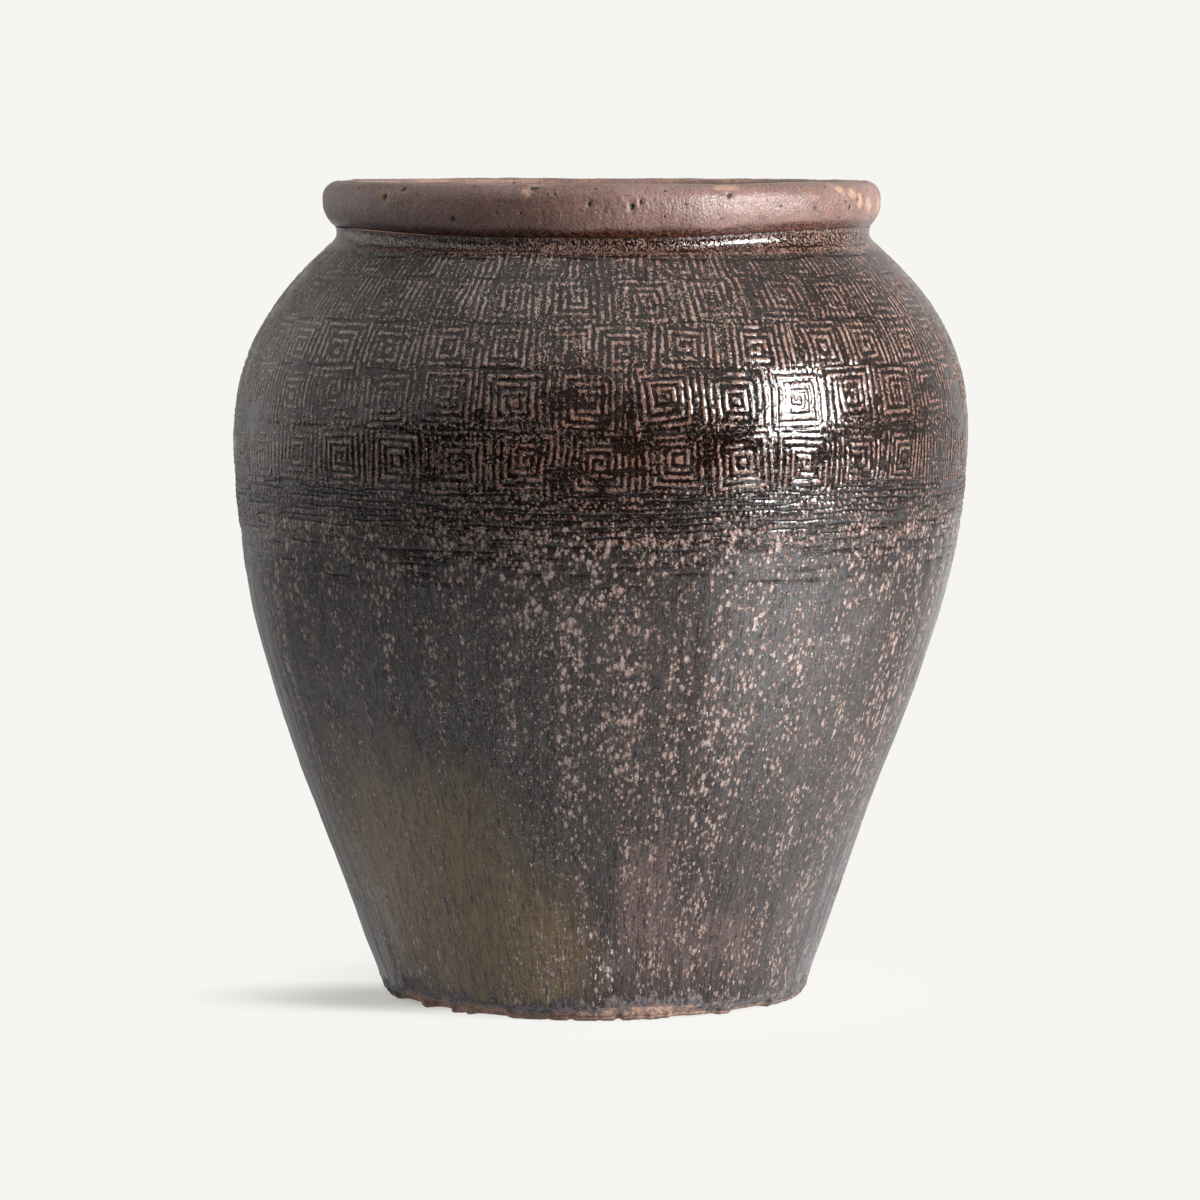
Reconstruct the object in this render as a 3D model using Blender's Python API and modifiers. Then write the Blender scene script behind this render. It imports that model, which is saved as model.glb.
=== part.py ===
"""Wide-shouldered stoneware storage jar with a thick rolled rim.

The jar is modelled the way a potter builds one: a clay slab, four wall lifts, a neck coil and
a rim coil, each made by itself and luted to the next. The lifts meet at sloping lap joints, so
the upper clay hangs over the outside of the lower clay. A reinforcing coil fills the corner
between the floor and the wall. The origin is on the ground, on the belly's axis, with +Z up.
"""

import math

import bpy

# Overall form, in metres
JAR_HEIGHT = 0.480
FOOT_RADIUS = 0.125
BELLY_RADIUS = 0.217
BELLY_HEIGHT = 0.330
FOOT_FLARE = 0.31  # how fast the wall widens above the foot, as a slope
SHOULDER_FULLNESS = 2.25  # power of the shoulder's curve: higher is squarer

# Wall thickness, tapering from the foot to the neck
WALL_AT_FOOT = 0.014
WALL_AT_NECK = 0.011

# Slab and the reinforcing coil in its corner
SLAB_THICKNESS = 0.014
SLAB_EDGE_HEIGHT = 0.008
SLAB_EDGE_ROUND = 0.003
CORNER_COIL_SIZE = 0.013
CORNER_COIL_LIP = 0.002
CHIP_DEPTH = 0.0022

# Lifts, joints and seams
LOWER_LIFT = 0.157
MIDDLE_LIFT = 0.117
BELLY_LIFT = 0.063
NECK_COIL_HEIGHT = 0.0155
JOINT_LAP = 0.008
SEAM_GAP = 0.0004

# Neck cove between the shoulder and the rim
NECK_RADIUS = 0.1565
NECK_COVE = 0.007
COVE_TURN_BELOW = math.radians(47)
COVE_TURN_ABOVE = math.radians(30)

# Rolled rim
RIM_DEPTH = 0.0265
RIM_RADIUS = 0.164
MOUTH_RADIUS = 0.139
RIM_WIDEST_DROP = 0.0130
RIM_OUTER_ROUND = 0.0095
RIM_INNER_ROUND = 0.0070

# The hand-built jar leans: its sections sit a little off the belly's axis, in one slow wave
LEAN_SWING = 0.0031
LEAN_LOW_HEIGHT = 0.100
LEAN_HALF_WAVE = 0.310

# How finely the forms are cut
STEPS_ROUND = 64
WALL_POINTS = 7
SHOULDER_POINTS = 9
ARC_POINTS = 5
HALVINGS = 40
MERGE_DISTANCE = 1e-5
SOFT_EDGE_ANGLE = math.radians(40)

# Levels worked out from the sizes above
RIM_BOTTOM = JAR_HEIGHT - RIM_DEPTH
WAIST_HEIGHT = RIM_BOTTOM - NECK_COVE * math.sin(COVE_TURN_ABOVE)
COVE_BOTTOM = WAIST_HEIGHT - NECK_COVE * math.sin(COVE_TURN_BELOW)
COVE_BOTTOM_RADIUS = NECK_RADIUS + NECK_COVE * (1 - math.cos(COVE_TURN_BELOW))
NECK_SEAM = RIM_BOTTOM - NECK_COIL_HEIGHT
LOWER_SEAM = SLAB_EDGE_HEIGHT + LOWER_LIFT
MIDDLE_SEAM = LOWER_SEAM + MIDDLE_LIFT
BELLY_SEAM = MIDDLE_SEAM + BELLY_LIFT


def lower_wall_radius(height):
    """Outer radius between the foot and the belly: a Hermite curve, upright at the belly."""
    t = height / BELLY_HEIGHT
    from_foot = 2 * t**3 - 3 * t**2 + 1
    from_flare = t**3 - 2 * t**2 + t
    return (
        from_foot * FOOT_RADIUS
        + from_flare * FOOT_FLARE * BELLY_HEIGHT
        + (1 - from_foot) * BELLY_RADIUS
    )


def shoulder_radius(height):
    """Outer radius between the belly and the neck cove."""
    climb = (height - BELLY_HEIGHT) / (COVE_BOTTOM - BELLY_HEIGHT)
    return BELLY_RADIUS - (BELLY_RADIUS - COVE_BOTTOM_RADIUS) * climb**SHOULDER_FULLNESS


def cove_radius(height):
    """Outer radius in the neck cove, a hollow arc below the rim."""
    return NECK_RADIUS + NECK_COVE - math.sqrt(NECK_COVE**2 - (height - WAIST_HEIGHT) ** 2)


def outer_radius(height):
    """Outer radius of the jar's wall at any height below the rim."""
    if height <= BELLY_HEIGHT:
        return lower_wall_radius(height)
    if height <= COVE_BOTTOM:
        return shoulder_radius(height)
    return cove_radius(height)


def outer_point(height):
    return outer_radius(height), height


def wall_thickness(height):
    climb = min(max(height / NECK_SEAM, 0), 1)
    return WALL_AT_FOOT + (WALL_AT_NECK - WALL_AT_FOOT) * climb


def inner_point(height):
    """The inside of the wall, square across from the outside at this height."""
    step = SEAM_GAP
    across = outer_radius(height) - outer_radius(height - step)
    length = math.hypot(across, step)
    thickness = wall_thickness(height)
    return (
        outer_radius(height) - thickness * step / length,
        height + thickness * across / length,
    )


def height_across_from(level):
    """The outside height that lies square across the wall from an inside level near the foot."""
    low, high = -level, BELLY_HEIGHT
    for _ in range(HALVINGS):
        middle = (low + high) / 2
        if inner_point(middle)[1] < level:
            low = middle
        else:
            high = middle
    return (low + high) / 2


def spaced(start, end, count):
    return [start + (end - start) * i / (count - 1) for i in range(count)]


def lean_wave(height):
    return -LEAN_SWING * math.cos(math.pi * (height - LEAN_LOW_HEIGHT) / LEAN_HALF_WAVE)


def lean(height):
    """How far the jar stands off the belly's axis at a height, along X."""
    return lean_wave(height) - lean_wave(BELLY_HEIGHT)


def arc(center, radius, start, end, count):
    """Points on an arc in the radius and height plane, angles in radians from outwards."""
    return [
        (center[0] + radius * math.cos(angle), center[1] + radius * math.sin(angle))
        for angle in spaced(start, end, count)
    ]


def wall_outline(bottom, top, count, bottom_inside=None, top_lap=JOINT_LAP):
    """Section of one lift: down its outside, then up its inside, sloping at both joints."""
    if bottom_inside is None:
        bottom_inside = bottom + JOINT_LAP
    outside = [outer_point(height) for height in spaced(top, bottom, count)]
    inside = [inner_point(height) for height in spaced(bottom_inside, top + top_lap, count)]
    return outside + inside


def glaze(name, colour, roughness):
    material = bpy.data.materials.new(name)
    material.use_nodes = True
    shader = material.node_tree.nodes["Principled BSDF"]
    shader.inputs["Base Color"].default_value = (*colour, 1)
    shader.inputs["Roughness"].default_value = roughness
    shader.inputs["Metallic"].default_value = 0
    material.diffuse_color = (*colour, 1)
    return material


def turned(name, outline, base, material, closed=True):
    """Turns a section about the jar's axis and leans it with the rest of the jar.

    The object stands at its own base height. An open section starts and ends on the axis."""
    count = len(outline)
    corners = [(radius, 0, height - base) for radius, height in outline]
    edges = [(i, i + 1) for i in range(count - 1)]
    if closed:
        edges.append((count - 1, 0))
    section = bpy.data.meshes.new(name + "_section")
    section.from_pydata(corners, edges, [])
    blank = bpy.data.objects.new(name + "_section", section)
    COLLECTION.objects.link(blank)
    screw = blank.modifiers.new("turn", "SCREW")
    screw.steps = STEPS_ROUND
    screw.render_steps = STEPS_ROUND
    screw.use_merge_vertices = True
    screw.merge_threshold = MERGE_DISTANCE
    graph = bpy.context.evaluated_depsgraph_get()
    mesh = bpy.data.meshes.new_from_object(blank.evaluated_get(graph))
    bpy.data.objects.remove(blank)
    bpy.data.meshes.remove(section)
    mesh.name = name
    for vertex in mesh.vertices:
        vertex.co.x += lean(vertex.co.z + base)
    mesh.shade_smooth()
    mesh.set_sharp_from_angle(angle=SOFT_EDGE_ANGLE)
    mesh.materials.append(material)
    piece = bpy.data.objects.new(name, mesh)
    piece.location = (0, 0, base)
    piece.parent = JAR
    COLLECTION.objects.link(piece)
    return piece


def chip_foot(slab):
    """Nibbles the slab's lower edge back, unevenly, as grit and wear leave it."""
    for vertex in slab.data.vertices:
        if vertex.co.z >= SLAB_EDGE_HEIGHT - SEAM_GAP:
            continue
        off_axis = vertex.co.x - lean(vertex.co.z)
        radius = math.hypot(off_axis, vertex.co.y)
        if radius < FOOT_RADIUS - SLAB_THICKNESS:
            continue
        angle = math.atan2(vertex.co.y, off_axis)
        wave = math.sin(5 * angle + 1) + math.sin(8 * angle) + math.sin(13 * angle + 2)
        depth = 1 - vertex.co.z / SLAB_EDGE_HEIGHT
        keep = 1 - CHIP_DEPTH * max(wave, 0) / 2 * depth / radius
        vertex.co.x = off_axis * keep + lean(vertex.co.z)
        vertex.co.y *= keep


def base_slab():
    """Floor of the jar. Its edge slopes up and in, for the wall to lap over."""
    inside = inner_point(height_across_from(SLAB_THICKNESS))
    edge = [
        outer_point(SLAB_EDGE_HEIGHT),
        outer_point(SLAB_EDGE_ROUND),
        (outer_radius(0) - SLAB_EDGE_ROUND, 0),
    ]
    outline = [(0, SLAB_THICKNESS), (inside[0], SLAB_THICKNESS), *edge, (0, 0)]
    slab = turned("base_slab", outline, 0, glaze("foot_clay", (0.30, 0.15, 0.09), 0.9), False)
    chip_foot(slab)
    return slab


def corner_coil():
    """Reinforcing coil pressed into the corner between the floor and the wall."""
    floor = SLAB_THICKNESS + SEAM_GAP
    heights = [height_across_from(floor + CORNER_COIL_SIZE * share) for share in (0, 0.5, 1)]
    against_wall = [
        (radius - SEAM_GAP, level) for radius, level in map(inner_point, heights)
    ]
    corner, _, top = against_wall
    toe = corner[0] - CORNER_COIL_SIZE
    hollow = (corner[0] - CORNER_COIL_SIZE / 2, floor + CORNER_COIL_SIZE / 3)
    outline = [
        *reversed(against_wall),
        (toe, floor),
        (toe + CORNER_COIL_LIP / 2, floor + CORNER_COIL_LIP),
        hollow,
        (top[0] - CORNER_COIL_LIP, top[1]),
    ]
    return turned("corner_coil", outline, floor, glaze("inner_glaze", (0.06, 0.03, 0.02), 0.3))


def lower_wall():
    """First lift, from the slab up to the seam a third of the way up."""
    bottom = SLAB_EDGE_HEIGHT + SEAM_GAP
    inside = height_across_from(SLAB_THICKNESS + SEAM_GAP)
    outline = wall_outline(bottom, LOWER_SEAM, WALL_POINTS, inside)
    material = glaze("satin_glaze", (0.055, 0.045, 0.040), 0.35)
    return turned("lower_wall", outline, bottom, material)


def middle_wall():
    """Second lift, up to the creased band below the stamped rows."""
    bottom = LOWER_SEAM + SEAM_GAP
    material = glaze("spotted_glaze", (0.070, 0.050, 0.043), 0.32)
    outline = wall_outline(bottom, MIDDLE_SEAM, WALL_POINTS)
    return turned("middle_wall", outline, bottom, material)


def belly_wall():
    """Third lift, round the widest level and its row of stamps."""
    bottom = MIDDLE_SEAM + SEAM_GAP
    material = glaze("pooled_glaze", (0.022, 0.010, 0.008), 0.12)
    return turned("belly_wall", wall_outline(bottom, BELLY_SEAM, WALL_POINTS), bottom, material)


def shoulder_wall():
    """Fourth lift: the stamped shoulder, up to the neck coil."""
    bottom = BELLY_SEAM + SEAM_GAP
    material = glaze("glossy_glaze", (0.035, 0.016, 0.011), 0.12)
    outline = wall_outline(bottom, NECK_SEAM, SHOULDER_POINTS, top_lap=0)
    return turned("shoulder_wall", outline, bottom, material)


def neck_coil():
    """Narrow coved ring that carries the rim."""
    bottom = NECK_SEAM + SEAM_GAP
    top = RIM_BOTTOM - SEAM_GAP
    outside = [outer_point(height) for height in spaced(top, bottom, WALL_POINTS)]
    inside = [inner_point(height) for height in spaced(bottom, COVE_BOTTOM, ARC_POINTS)]
    inner_top = (inside[-1][0] - (outside[0][0] - NECK_RADIUS), top)
    material = glaze("neck_glaze", (0.060, 0.022, 0.014), 0.14)
    return turned("neck_coil", [*outside, *inside, inner_top], bottom, material)


def rim_coil():
    """Thick rolled rim with a narrow flat land on top, where a cover would rest."""
    foot_outside = outer_radius(RIM_BOTTOM)
    foot_inside = foot_outside - WALL_AT_NECK
    outline = [(MOUTH_RADIUS + RIM_INNER_ROUND, JAR_HEIGHT)]
    outline += arc(
        (RIM_RADIUS - RIM_OUTER_ROUND, JAR_HEIGHT - RIM_OUTER_ROUND),
        RIM_OUTER_ROUND,
        math.pi / 2,
        0,
        ARC_POINTS,
    )
    outline += undercut(RIM_RADIUS, foot_outside)
    outline += reversed(undercut(MOUTH_RADIUS, foot_inside))
    outline += arc(
        (MOUTH_RADIUS + RIM_INNER_ROUND, JAR_HEIGHT - RIM_INNER_ROUND),
        RIM_INNER_ROUND,
        math.pi,
        math.pi / 2,
        ARC_POINTS,
    )[:-1]
    material = glaze("bare_rim", (0.16, 0.085, 0.065), 0.6)
    return turned("rim_coil", outline, RIM_BOTTOM, material)


def undercut(face_radius, foot_radius):
    """Side of the rim below its widest level, curving from upright in to the rim's own foot."""
    widest = JAR_HEIGHT - RIM_WIDEST_DROP
    return [
        (
            face_radius + (foot_radius - face_radius) * share**2,
            widest + (RIM_BOTTOM - widest) * share,
        )
        for share in spaced(0, 1, ARC_POINTS)
    ]


for old in list(bpy.data.objects):
    bpy.data.objects.remove(old)

COLLECTION = bpy.data.collections.new("storage_jar")
bpy.context.scene.collection.children.link(COLLECTION)
JAR = bpy.data.objects.new("jar", None)
COLLECTION.objects.link(JAR)

base_slab()
corner_coil()
lower_wall()
middle_wall()
belly_wall()
shoulder_wall()
neck_coil()
rim_coil()
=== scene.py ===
from math import pi, radians, sin

import bpy
import numpy as np
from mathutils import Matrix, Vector


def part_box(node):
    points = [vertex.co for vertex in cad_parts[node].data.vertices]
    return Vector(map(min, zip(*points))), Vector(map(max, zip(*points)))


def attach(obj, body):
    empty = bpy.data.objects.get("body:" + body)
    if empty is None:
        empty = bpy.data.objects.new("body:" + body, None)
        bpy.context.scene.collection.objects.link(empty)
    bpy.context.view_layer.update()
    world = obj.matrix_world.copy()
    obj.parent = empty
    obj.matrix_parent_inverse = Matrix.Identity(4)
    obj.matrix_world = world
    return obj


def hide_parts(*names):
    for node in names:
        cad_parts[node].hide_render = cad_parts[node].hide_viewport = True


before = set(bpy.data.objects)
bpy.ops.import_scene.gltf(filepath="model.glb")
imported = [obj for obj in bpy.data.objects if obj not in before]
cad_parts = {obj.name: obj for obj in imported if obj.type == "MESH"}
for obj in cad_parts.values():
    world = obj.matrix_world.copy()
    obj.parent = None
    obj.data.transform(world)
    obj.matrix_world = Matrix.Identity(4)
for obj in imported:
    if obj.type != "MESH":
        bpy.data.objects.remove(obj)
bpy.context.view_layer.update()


# The jar's form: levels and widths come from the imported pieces, the curves between them are its own

def halfWidth(node):
    low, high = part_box(node)
    return (high.x - low.x) / 2


jar = {
    "top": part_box("rim_coil")[1].z,
    "rimBottom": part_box("rim_coil")[0].z,
    "neckSeam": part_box("shoulder_wall")[1].z,
    "bellySeam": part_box("shoulder_wall")[0].z,
    "middleSeam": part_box("belly_wall")[0].z,
    "lowerSeam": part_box("middle_wall")[0].z,
    "slabSeam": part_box("lower_wall")[0].z,
    "slabTop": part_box("base_slab")[1].z,
    "rimRadius": halfWidth("rim_coil"),
    "bellyRadius": halfWidth("belly_wall"),
    "bellyLevel": 0.330,
    "footRadius": 0.125,
    "footFlare": 0.31,  # slope of the wall just above the foot
    "shoulderFullness": 2.25,
    "neckRadius": 0.1565,
    "cove": 0.007,  # radius of the hollow under the rim
    "coveBelow": radians(47),
    "coveAbove": radians(30),
    "mouthRadius": 0.139,
    "rimWidestDrop": 0.013,
    "rimOuterRound": 0.0095,
    "rimInnerRound": 0.0070,
    "wallAtFoot": 0.014,
    "wallAtNeck": 0.011,
    "jointLap": 0.008,  # how much higher a joint lies inside, and the same at the slab and the rim
    "slabLap": 0.0015,
    "rimLap": -0.0035,
    "leanSwing": 0.0031,
    "leanLow": 0.100,
    "leanHalfWave": 0.310,
    "rimSag": 0.0037,  # how much lower the underside of the rim hangs in front
    "sagMiddle": -8,  # degrees, and the two half widths that it fades between
    "sagWidth": (15, 62),
}
waist = jar["rimBottom"] - jar["cove"] * sin(jar["coveAbove"])
coveBottom = waist - jar["cove"] * sin(jar["coveBelow"])
coveBottomRadius = jar["neckRadius"] + jar["cove"] * (1 - np.cos(jar["coveBelow"]))


def ease(low, high, value):
    share = np.clip((value - low) / (high - low), 0, 1)
    return share * share * (3 - 2 * share)


def turnFrom(theta, angle):  # degrees round from an angle, between -180 and 180
    return (np.degrees(theta) - angle + 180) % 360 - 180


def outerRadius(level):
    level = np.asarray(level)
    t = np.clip(level / jar["bellyLevel"], -0.2, 1)
    fromFoot = 2 * t**3 - 3 * t**2 + 1
    flare = (t**3 - 2 * t**2 + t) * jar["footFlare"] * jar["bellyLevel"]
    lower = fromFoot * jar["footRadius"] + flare + (1 - fromFoot) * jar["bellyRadius"]
    climb = np.clip((level - jar["bellyLevel"]) / (coveBottom - jar["bellyLevel"]), 0, 1)
    narrowing = (jar["bellyRadius"] - coveBottomRadius) * climb ** jar["shoulderFullness"]
    up = np.clip(level - waist, -jar["cove"], jar["cove"])
    hollow = jar["neckRadius"] + jar["cove"] - np.sqrt(jar["cove"] ** 2 - up**2)
    upper = np.where(level > coveBottom, hollow, jar["bellyRadius"] - narrowing)
    return np.where(level > jar["bellyLevel"], upper, lower)


def outerSlope(level, step=0.0002):  # outward lean of the skin's normal, as (across, up)
    rise = (outerRadius(level + step) - outerRadius(level - step)) / (2 * step)
    length = np.sqrt(1 + rise**2)
    return 1 / length, -rise / length


def lean(level):
    def wave(height):
        return -jar["leanSwing"] * np.cos(pi * (height - jar["leanLow"]) / jar["leanHalfWave"])
    return wave(level) - wave(jar["bellyLevel"])


def innerPoint(level):
    across, up = outerSlope(level)
    climb = np.clip(level / jar["neckSeam"], 0, 1)
    wall = jar["wallAtFoot"] + (jar["wallAtNeck"] - jar["wallAtFoot"]) * climb
    return outerRadius(level) - wall * across, level - wall * up


def rimSag(theta, height):
    away = np.abs(turnFrom(theta, jar["sagMiddle"]))
    near = ease(jar["neckSeam"] + 0.0005, jar["rimBottom"] - 0.005, height)
    near = near * ease(jar["top"] - 0.009, jar["rimBottom"] + 0.004, height)
    return -jar["rimSag"] * ease(jar["sagWidth"][1], jar["sagWidth"][0], away) * near


def placeAt(theta, radius, level, height):  # the axis leans with the level
    return np.stack([radius * np.sin(theta) + lean(level), -radius * np.cos(theta), height], axis=1)


# Distance run up the skin from the foot, so that patterns keep their size where the wall slopes
levelTable = np.linspace(0, jar["rimBottom"], 4000)
stepTable = np.hypot(np.diff(levelTable), np.diff(outerRadius(levelTable)))
runTable = np.concatenate([[0], np.cumsum(stepTable)])


def runAt(level):
    return np.interp(level, levelTable, runTable)


def levelAt(run):
    return np.interp(run, runTable, levelTable)


# Smooth noise that closes on itself round the jar

noiseTable = np.random.default_rng(7).random(65536)
gauge = 0.2  # radius that the noise is measured on


def latticeNoise(x, y, z, seed):
    corners = [np.floor(axis).astype(np.int64) for axis in (x, y, z)]
    shares = [axis - corner for axis, corner in zip((x, y, z), corners)]
    shares = [share * share * (3 - 2 * share) for share in shares]
    total = 0
    for dx in (0, 1):
        for dy in (0, 1):
            for dz in (0, 1):
                key = (corners[0] + dx) * 73856093 ^ (corners[1] + dy) * 19349663
                key = (key ^ (corners[2] + dz) * 83492791 ^ seed * 2654435) & 65535
                weight = (shares[0] if dx else 1 - shares[0]) * (shares[1] if dy else 1 - shares[1])
                total = total + noiseTable[key] * weight * (shares[2] if dz else 1 - shares[2])
    return total


def noiseOver(theta, run):
    # Gives noise(wide, tall, seed), from 0 to 1, and wave(wide, tall, seed, size), about 0
    def noise(wide, tall, seed):
        east, south = gauge * np.sin(theta) / wide + 40, gauge * np.cos(theta) / wide + 40
        return latticeNoise(east, south, run / tall + 40, seed)

    def wave(wide, tall, seed, size):
        return (noise(wide, tall, seed) - 0.5) * size
    return noise, wave


def beadField(theta, run, wide, tall, seed, least, most):
    # Round beads, one in each cell of a jittered net, from 0 between them to 1 on top
    around = round(2 * pi * gauge / wide)
    x, y = theta / (2 * pi) * around, run / tall
    cellX, cellY = np.floor(x).astype(np.int64), np.floor(y).astype(np.int64)
    best = np.zeros_like(theta)
    for dx in (-1, 0, 1):
        for dy in (-1, 0, 1):
            key = ((cellX + dx) % around * 73856093 ^ (cellY + dy) * 19349663 ^ seed * 83492791) & 65535
            shiftX, shiftY = noiseTable[key], noiseTable[(key * 7 + 1) & 65535]
            size = least + (most - least) * noiseTable[(key * 13 + 5) & 65535]
            awayX = (cellX + dx + 0.15 + 0.7 * shiftX - x) * wide
            awayY = (cellY + dy + 0.15 + 0.7 * shiftY - y) * tall * 0.85
            best = np.maximum(best, 1 - (awayX**2 + awayY**2) / (wide * size) ** 2)
    return best


# Hand stamps: nested squares and square spirals, in five rows round the shoulder

stamps = {
    "halfWide": 0.0206,
    "linePitch": 0.0039,  # upright lines that fill the rows between and behind the stamps
    "rows": [  # level of the middle, ridge pitch and height, half height, stamps round, angles in front
        {"level": 0.4350, "pitch": 0.0046, "height": 0.00034, "halfTall": 0.0130, "count": 27, "clear": 0.55,
         "seen": [-9.4, 3.6, 14.2, 27.9, 41.0]},
        {"level": 0.4155, "pitch": 0.0046, "height": 0.00040, "halfTall": 0.0150, "count": 30, "clear": 0.68,
         "seen": [-15.7, -4.8, 7.1, 19.5, 33.2, 44.5]},
        {"level": 0.3895, "pitch": 0.0045, "height": 0.00044, "halfTall": 0.0155, "count": 34, "clear": 0.84,
         "seen": [-46.9, -35.8, -25.2, -15.4, -5.9, 3.1, 12.8, 24.9, 37.3, 47.1, 58.2]},
        {"level": 0.3610, "pitch": 0.0043, "height": 0.00046, "halfTall": 0.0170, "count": 34, "clear": 1.00,
         "seen": [-34.5, -24.0, -13.3, -2.0, 9.3, 20.2, 30.7, 40.9]},
        {"level": 0.3265, "pitch": 0.0041, "height": 0.00050, "halfTall": 0.0165, "count": 34, "clear": 1.00,
         "seen": [-32.0, -21.6, -11.2, -0.3, 11.4, 21.2, 31.8, 42.3]},
    ],
    "tilt": 0.035,
    "shift": 0.0009,
}


def ringField(a, b, pitch, spiral):
    # Distance out from the stamp's middle in ridge pitches, square, or winding out by a pitch a turn
    if spiral == 0:
        return np.maximum(np.abs(a), np.abs(b)) / pitch
    a = a * spiral
    right, top, left, bottom = a, b + pitch / 4, pitch / 2 - a, pitch * 3 / 4 - b
    upper = np.where(a > 0, np.maximum(right, top), np.maximum(top, left))
    lower = np.where(a > 0, np.maximum(bottom, right + pitch), np.maximum(left, bottom))
    return np.where(b > 0, upper, lower) / pitch


def stampAngles(row):
    # The stamps seen in front stand where the photograph has them, and the rest share out the circle
    seen = row["seen"]
    gap = 360 - (seen[-1] - seen[0])
    more = round(gap / 360 * row["count"]) - 1
    return seen + [seen[-1] + gap * (number + 1) / (more + 1) for number in range(more)]


def pressStamps(theta, run):
    ridge, height, cover, furrow = (np.zeros_like(theta) for _ in range(4))
    rng = np.random.default_rng(31)
    noise, wave = noiseOver(theta, run)
    warpA = wave(0.014, 0.014, 11, 0.0020) + wave(0.0028, 0.0060, 12, 0.0006)
    warpB = wave(0.014, 0.014, 13, 0.0020) + wave(0.0060, 0.0028, 14, 0.0006)
    clearing = 0.62 + 0.38 * ease(0.34, 0.56, noise(0.022, 0.018, 16))
    furrowed = ease(0.40, 0.54, noise(0.018, 1.0, 18))
    for row in stamps["rows"]:
        middleRun = runAt(row["level"])
        radius = float(outerRadius(row["level"]))
        near = np.abs(run - middleRun) < 0.030
        lines = round(2 * pi * radius / stamps["linePitch"])
        swing = warpA[near] * 1.6 * 2 * pi / stamps["linePitch"]
        upright = 0.5 - 0.5 * np.cos(theta[near] * lines + swing)
        inRow = np.abs(run[near] - middleRun + warpB[near]) < row["halfTall"] + 0.0004
        spot = np.flatnonzero(near)[inRow]
        ridge[spot] = ease(0.24, 0.94, upright[inRow]) * 0.90
        height[spot] = row["height"] * 0.85
        cover[spot] = 1
        edgeRun = middleRun + row["halfTall"] + 0.0006 + warpB * 1.6
        furrow = np.maximum(furrow, np.exp(-((run - edgeRun) / 0.0007) ** 2) * furrowed)
        for angle in stampAngles(row):
            offset, tilt = rng.normal(0, stamps["shift"]), rng.normal(0, stamps["tilt"])
            spiral, size = rng.choice([0, 0, 1, -1]), rng.normal(1, 0.03)
            strength, middleShift = rng.uniform(0.75, 1.15), rng.normal(0, 0.0014)
            if not near.any():
                continue
            a0 = radians(1) * turnFrom(theta[near], angle) * radius
            b0 = run[near] - middleRun - offset
            a = (a0 * np.cos(tilt) + b0 * np.sin(tilt)) / size + warpA[near]
            b = (b0 * np.cos(tilt) - a0 * np.sin(tilt)) / size + warpB[near]
            inside = (np.abs(a) < stamps["halfWide"]) & (np.abs(b) < row["halfTall"])
            if not inside.any():
                continue
            rings = ringField(a[inside], b[inside] + middleShift, row["pitch"], spiral)
            bump = 0.5 - 0.5 * np.cos(2 * pi * (rings + 0.22))
            border = np.minimum(stamps["halfWide"] - np.abs(a[inside]), row["halfTall"] - np.abs(b[inside]))
            spot = np.flatnonzero(near)[inside]
            share = row["clear"] * clearing[spot]
            square = ease(0.24, 0.92, bump) * (0.45 + 0.55 * ease(0, 0.0012, border))
            ridge[spot] = square * share + ridge[spot] * (1 - share)
            height[spot] = row["height"] * strength
            cover[spot] = 1
    return ridge, height, cover, furrow


# The skin: how far each point of the outside lies under the smooth form, and what the glaze does there

skin = {
    "dents": 0.0011,
    "grain": 0.00024,
    "smearLevel": 0.3435,
    "smearHeight": 0.0070,
    "stampFoot": 0.3095,  # under this the stamps give way to beads of glaze
    "rippleTop": 0.316,
    "rippleDepth": 0.00074,
    "creases": [0.3090, 0.3058, 0.3022, 0.2990, 0.2956, 0.2918, 0.2885,
                0.2848, 0.2812, 0.2770, 0.2732, 0.2690, 0.2640, 0.2585],
    "creaseDepth": 0.00045,
    "facets": 0.0007,
    "beadDepth": 0.00035,  # of the beads between the stamps and under them
}


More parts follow.
